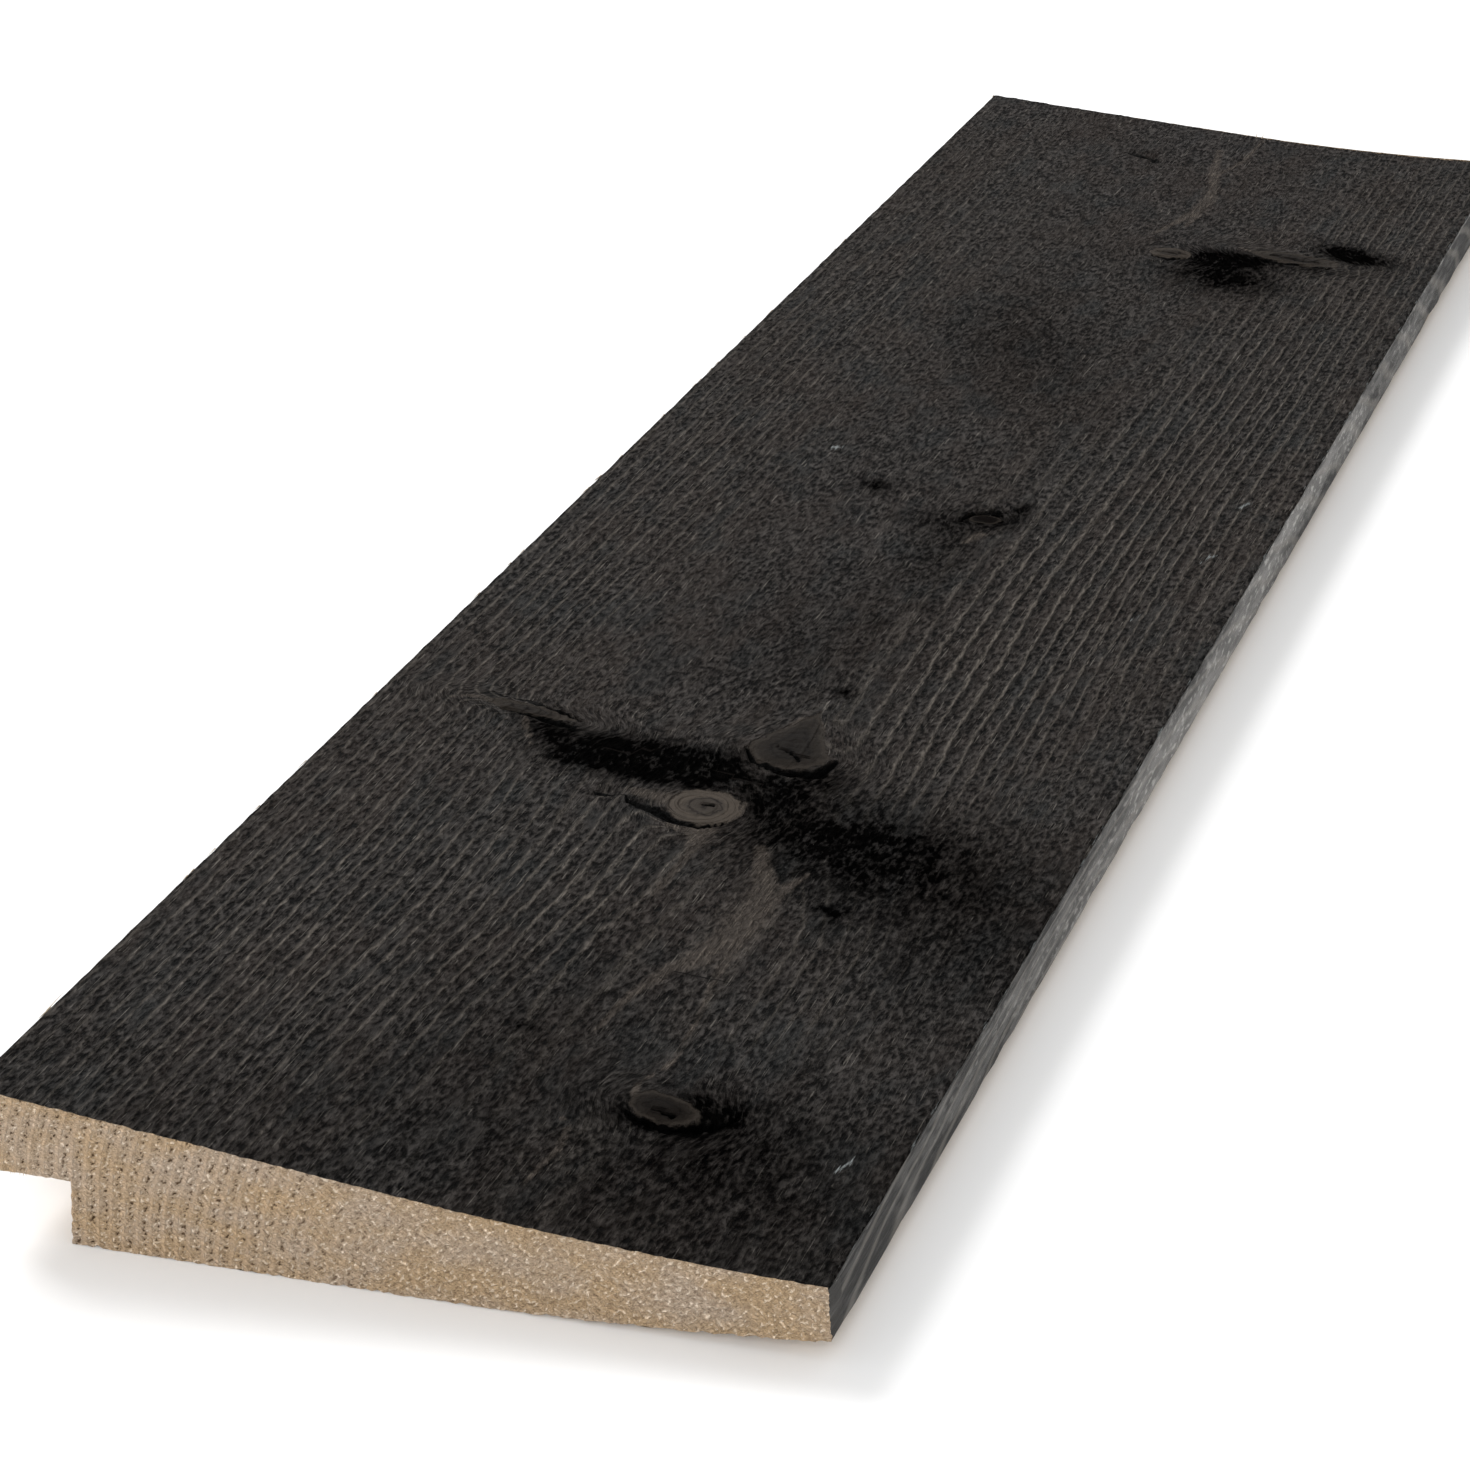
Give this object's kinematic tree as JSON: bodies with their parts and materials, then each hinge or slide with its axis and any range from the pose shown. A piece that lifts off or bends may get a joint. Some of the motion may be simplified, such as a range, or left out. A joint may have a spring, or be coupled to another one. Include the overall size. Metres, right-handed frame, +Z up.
{
  "type": "clinker cladding board",
  "caption": "Tapered clinker cladding board with a rebate along the back of its thick edge, black-stained sawn face and bare cut ends.",
  "frame": {"origin": "centre of the board's bounding box, at the level floor that the flat half of its back lies on", "axes": "+Y along the grain and the length, +X across the board from the thick rebated edge to the thin edge, +Z up out of the sawn face"},
  "size_m": [0.145, 0.57, 0.0279],
  "materials": {
    "black_stained_softwood": "rough-sawn softwood with a matt black stain, bare where it is cut"
  },
  "bodies": {
    "root": {"cladding_board": "black_stained_softwood"}
  },
  "joints": []
}
